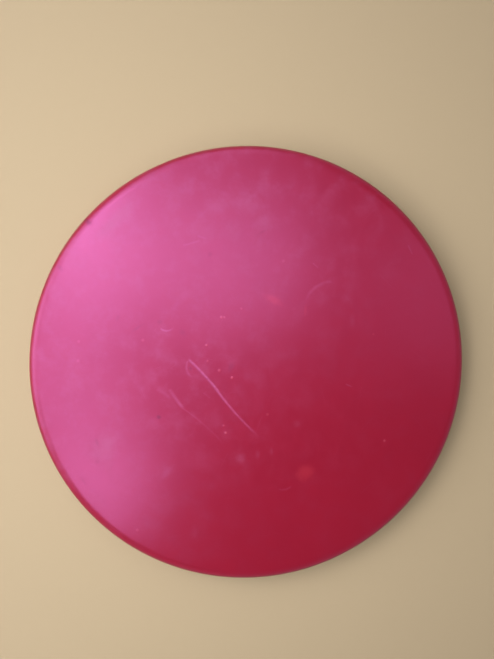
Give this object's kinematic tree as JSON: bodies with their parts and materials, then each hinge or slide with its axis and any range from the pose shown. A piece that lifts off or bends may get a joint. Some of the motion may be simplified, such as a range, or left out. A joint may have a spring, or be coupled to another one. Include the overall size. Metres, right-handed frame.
{
  "type": "flying disc",
  "caption": "Blank putt-and-approach golf disc, moulded in one piece, with a low domed flight plate, a blunt rounded nose and a deep hollow underside.",
  "frame": {"origin": "centre of the circle that the rim's foot stands on, on the disc's axis of revolution", "axes": "+Z is the axis of revolution and points up through the flight plate; X and Y are equal, because the disc is round"},
  "size_m": [0.212, 0.212, 0.02],
  "materials": {
    "disc_plastic": "satin crimson-magenta thermoplastic elastomer, coloured through, lightly scuffed"
  },
  "bodies": {
    "root": {"disc": "disc_plastic"}
  },
  "joints": []
}
